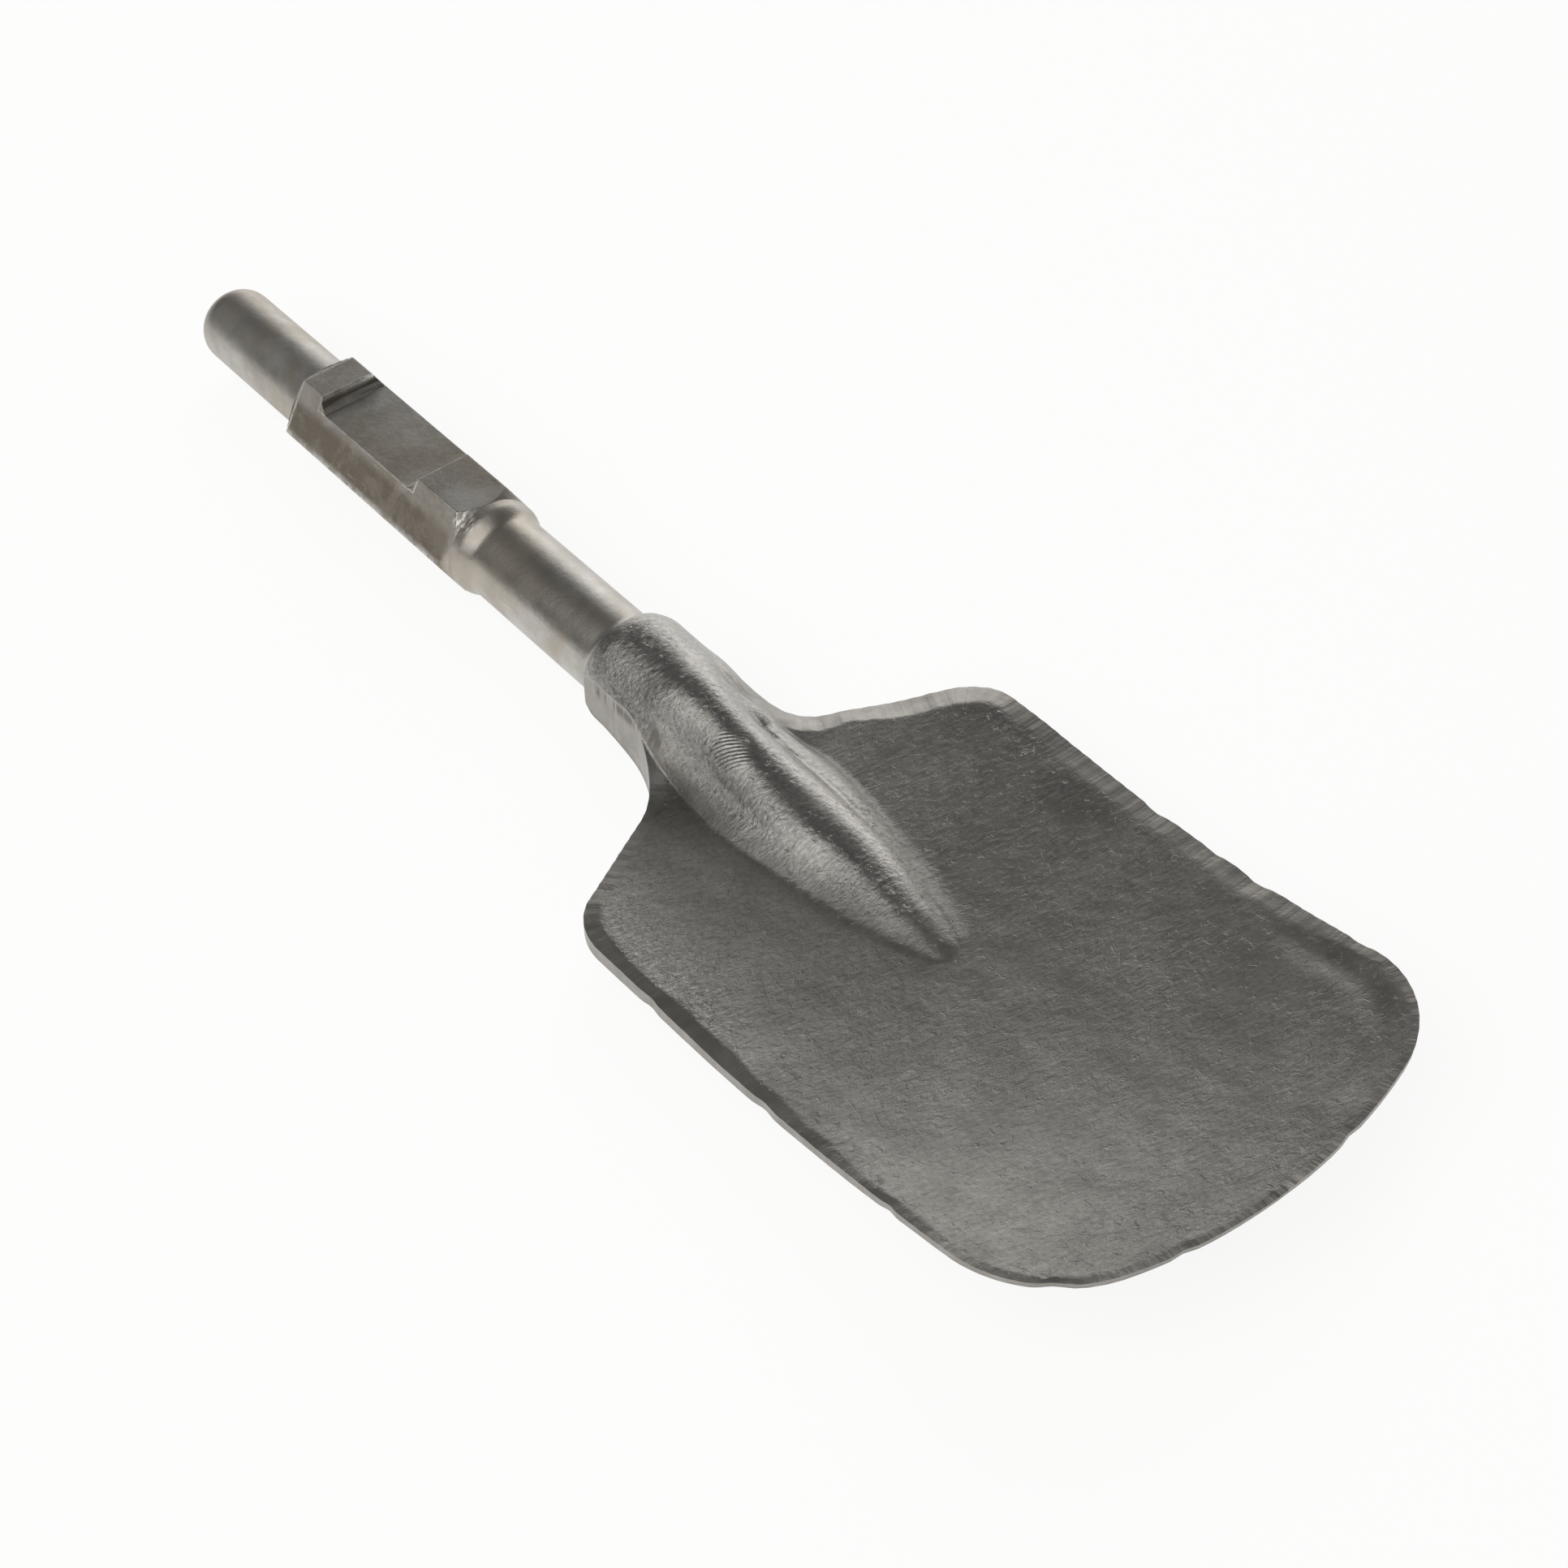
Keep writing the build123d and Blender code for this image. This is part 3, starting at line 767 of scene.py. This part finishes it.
# Relief of the skin, laid over the net by Geometry Nodes: hammer texture where it is forged, and
# the scallops of the wheel along the rim
skin_rule = bpy.data.node_groups.new("forged_skin", "GeometryNodeTree")
skin_rule.is_modifier = True
labels = skin_rule.interface
labels.new_socket("Geometry", in_out="OUTPUT", socket_type="NodeSocketGeometry")
labels.new_socket("Geometry", in_out="INPUT", socket_type="NodeSocketGeometry")
rule_inputs = {}
for label, kind, value in (
        ("Hammer Height", "NodeSocketFloat", 0.00014), ("Hammer Size", "NodeSocketFloat", 0.0046),
        ("Scallop Height", "NodeSocketFloat", 0.00005), ("Scallop Length", "NodeSocketFloat", 4.2),
        ("Seed", "NodeSocketFloat", 7.0), ("Steel", "NodeSocketMaterial", steel)):
    socket = labels.new_socket(label, in_out="INPUT", socket_type=kind)
    rule_inputs[socket.identifier] = value
parts, joins = skin_rule.nodes, skin_rule.links
given = parts.new("NodeGroupInput").outputs
result = parts.new("NodeGroupOutput")


def carried(name):
    """A value that each point of the net carries."""
    node = parts.new("GeometryNodeInputNamedAttribute")
    node.data_type = "FLOAT"
    node.inputs["Name"].default_value = name
    return node.outputs["Attribute"]


def worked(operation, a, b=0.0):
    node = parts.new("ShaderNodeMath")
    node.operation = operation
    for socket, value in zip(node.inputs, (a, b)):
        if isinstance(value, (int, float)):
            socket.default_value = value
        else:
            joins.new(value, socket)
    return node.outputs[0]


hammer = parts.new("ShaderNodeTexNoise")
hammer.noise_dimensions = "4D"
hammer.inputs["Detail"].default_value = 3.0
hammer.inputs["Roughness"].default_value = 0.6
joins.new(parts.new("GeometryNodeInputPosition").outputs[0], hammer.inputs["Vector"])
joins.new(given["Seed"], hammer.inputs["W"])
joins.new(worked("DIVIDE", 1.0, given["Hammer Size"]), hammer.inputs["Scale"])
struck = worked("MULTIPLY", worked("SUBTRACT", hammer.outputs["Fac"], 0.5), given["Hammer Height"])
struck = worked("MULTIPLY", struck, carried("forged"))
turn = worked("DIVIDE", worked("MULTIPLY", carried("rim_run"), 2 * pi), given["Scallop Length"])
scallop = worked("MULTIPLY", worked("SINE", turn), given["Scallop Height"])
scallop = worked("MULTIPLY", scallop, carried("ground"))
push = parts.new("ShaderNodeVectorMath")
push.operation = "SCALE"
joins.new(parts.new("GeometryNodeInputNormal").outputs[0], push.inputs[0])
joins.new(worked("ADD", struck, scallop), push.inputs["Scale"])
moved = parts.new("GeometryNodeSetPosition")
joins.new(given["Geometry"], moved.inputs["Geometry"])
joins.new(push.outputs[0], moved.inputs["Offset"])
made_real = parts.new("GeometryNodeRealizeInstances")
joins.new(moved.outputs[0], made_real.inputs[0])
finished = parts.new("GeometryNodeSetMaterial")
joins.new(made_real.outputs[0], finished.inputs["Geometry"])
joins.new(given["Steel"], finished.inputs["Material"])
joins.new(finished.outputs[0], result.inputs[0])

dressing = forging.modifiers.new("forged_skin", "NODES")
dressing.node_group = skin_rule
for identifier, value in rule_inputs.items():
    dressing[identifier] = value
graph = bpy.context.evaluated_depsgraph_get()
skin = bpy.data.meshes.new_from_object(forging.evaluated_get(graph))
forging.modifiers.clear()
bpy.data.objects.remove(forging)
skin.name = "spade_chisel_skin"
if not skin.materials:
    skin.materials.append(steel)

# The relief stays inside the box of the CAD model
inside = 0.01 * mm
final = np.empty(len(skin.vertices) * 3, np.float32)
skin.vertices.foreach_get("co", final)
final = np.clip(final.reshape(-1, 3), np.array(cad_low) + inside, np.array(cad_high) - inside)
skin.vertices.foreach_set("co", final.astype(np.float32).ravel())
skin.update()
chisel = bpy.data.objects.new("spade_chisel_skin", skin)
bpy.context.scene.collection.objects.link(chisel)

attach(chisel, "root")
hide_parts("spade_chisel")

# Floor: a wide sheet of white paper under the chisel. The camera and the polished steel see it as
# bright as the backdrop, and it keeps a soft shadow.
floor_reach, floor_level = 6.0, float(cad_low.z)
paper_white, backdrop_white, lit_share = (0.9, 0.9, 0.89, 1), (0.995, 0.995, 0.99, 1), 0.10
floor_corners = [(-1, -1), (1, -1), (1, 1), (-1, 1)]
floor_mesh = bpy.data.meshes.new("paper_floor")
floor_mesh.from_pydata([(x * floor_reach, y * floor_reach, floor_level) for x, y in floor_corners],
                       [], [(0, 1, 2, 3)])
floor = bpy.data.objects.new("paper_floor", floor_mesh)
bpy.context.scene.collection.objects.link(floor)
paper = bpy.data.materials.new("white_paper")
paper.use_nodes = True
nodes, links = paper.node_tree.nodes, paper.node_tree.links
paper_shader = nodes["Principled BSDF"]
paper_shader.inputs["Base Color"].default_value = paper_white
paper_shader.inputs["Roughness"].default_value = 0.9
paper_shader.inputs["Specular IOR Level"].default_value = 0.0


def seen_directly():
    """1 for rays from the camera, or by way of metal or glass."""
    path = nodes.new("ShaderNodeLightPath").outputs
    by_metal = arithmetic("MAXIMUM", path["Is Camera Ray"], path["Is Glossy Ray"])
    return arithmetic("MAXIMUM", by_metal, path["Is Transmission Ray"])


glow = nodes.new("ShaderNodeEmission")
glow.inputs["Color"].default_value = backdrop_white
mix = nodes.new("ShaderNodeMixShader")
links.new(times(seen_directly(), 1 - lit_share), mix.inputs["Fac"])
links.new(paper_shader.outputs[0], mix.inputs[1])
links.new(glow.outputs[0], mix.inputs[2])
links.new(mix.outputs[0], nodes["Material Output"].inputs["Surface"])
floor_mesh.materials.append(paper)

# Studio light: a white wall behind the chisel, low down, and a large soft box in front and above,
# in a dim room. The steel shows all three as bright and dark bands.
room, wall, soft_box = 0.15, 1.45, 1.15
wall_toward, wall_fades = Vector((-0.57, 0.82, 0.0)), (0.70, 0.95)
box_toward, box_fades = Vector((0.15, -0.63, 0.76)), (0.72, 0.93)
world = bpy.data.worlds.new("studio")
bpy.context.scene.world = world
world.use_nodes = True
nodes, links = world.node_tree.nodes, world.node_tree.links
sky = nodes.new("ShaderNodeTexCoord").outputs["Generated"]


def light_from(direction, fades, strength):
    """Light from one direction, fading out between two cosines."""
    dot = nodes.new("ShaderNodeVectorMath")
    dot.operation = "DOT_PRODUCT"
    dot.inputs[1].default_value = direction.normalized()
    links.new(sky, dot.inputs[0])
    return between(dot.outputs["Value"], *fades, 0.0, strength)


from_wall = light_from(wall_toward, wall_fades, wall)
from_box = light_from(box_toward, box_fades, soft_box)
sky_light = plus(from_wall, from_box, room)
sky_grey = nodes.new("ShaderNodeCombineColor")
for socket in sky_grey.inputs:
    links.new(sky_light, socket)
camera_sees = nodes.new("ShaderNodeLightPath").outputs["Is Camera Ray"]
links.new(tinted(camera_sees, sky_grey.outputs[0], backdrop_white), nodes["Background"].inputs["Color"])

# Two large soft lamps bring the paper and anything matt up to a plain level
lamp_size = 1.4
lamps = [("soft_lamp_front", (0.35, -1.1, 1.4), 14), ("soft_lamp_back", (-0.8, 1.0, 1.5), 10)]
for name, spot, power in lamps:
    lamp_data = bpy.data.lights.new(name, "AREA")
    lamp_data.shape = "DISK"
    lamp_data.size = lamp_size
    lamp_data.energy = power
    lamp = bpy.data.objects.new(name, lamp_data)
    lamp.location = spot
    lamp.rotation_euler = Vector(spot).to_track_quat("Z", "Y").to_euler()
    lamp.visible_glossy = False
    bpy.context.scene.collection.objects.link(lamp)

# Camera: above the right-hand side of the cutting edge, with the shank running away from it
camera_data = bpy.data.cameras.new("camera")
camera_data.lens = 68.5
camera_data.sensor_width = 36
camera_place = Vector((0.63587, -0.34004, 0.56934))
right = Vector((0.63691, 0.77084, -0.01229)).normalized()
forward = Vector((-0.53997, 0.43466, -0.72077)).normalized()
up = right.cross(forward).normalized()
camera = bpy.data.objects.new("camera", camera_data)
turned_so = Matrix((right, up, -forward)).transposed().to_4x4()
camera.matrix_world = Matrix.Translation(camera_place) @ turned_so
bpy.context.scene.collection.objects.link(camera)
bpy.context.scene.camera = camera
bpy.context.scene.view_settings.view_transform = "Standard"
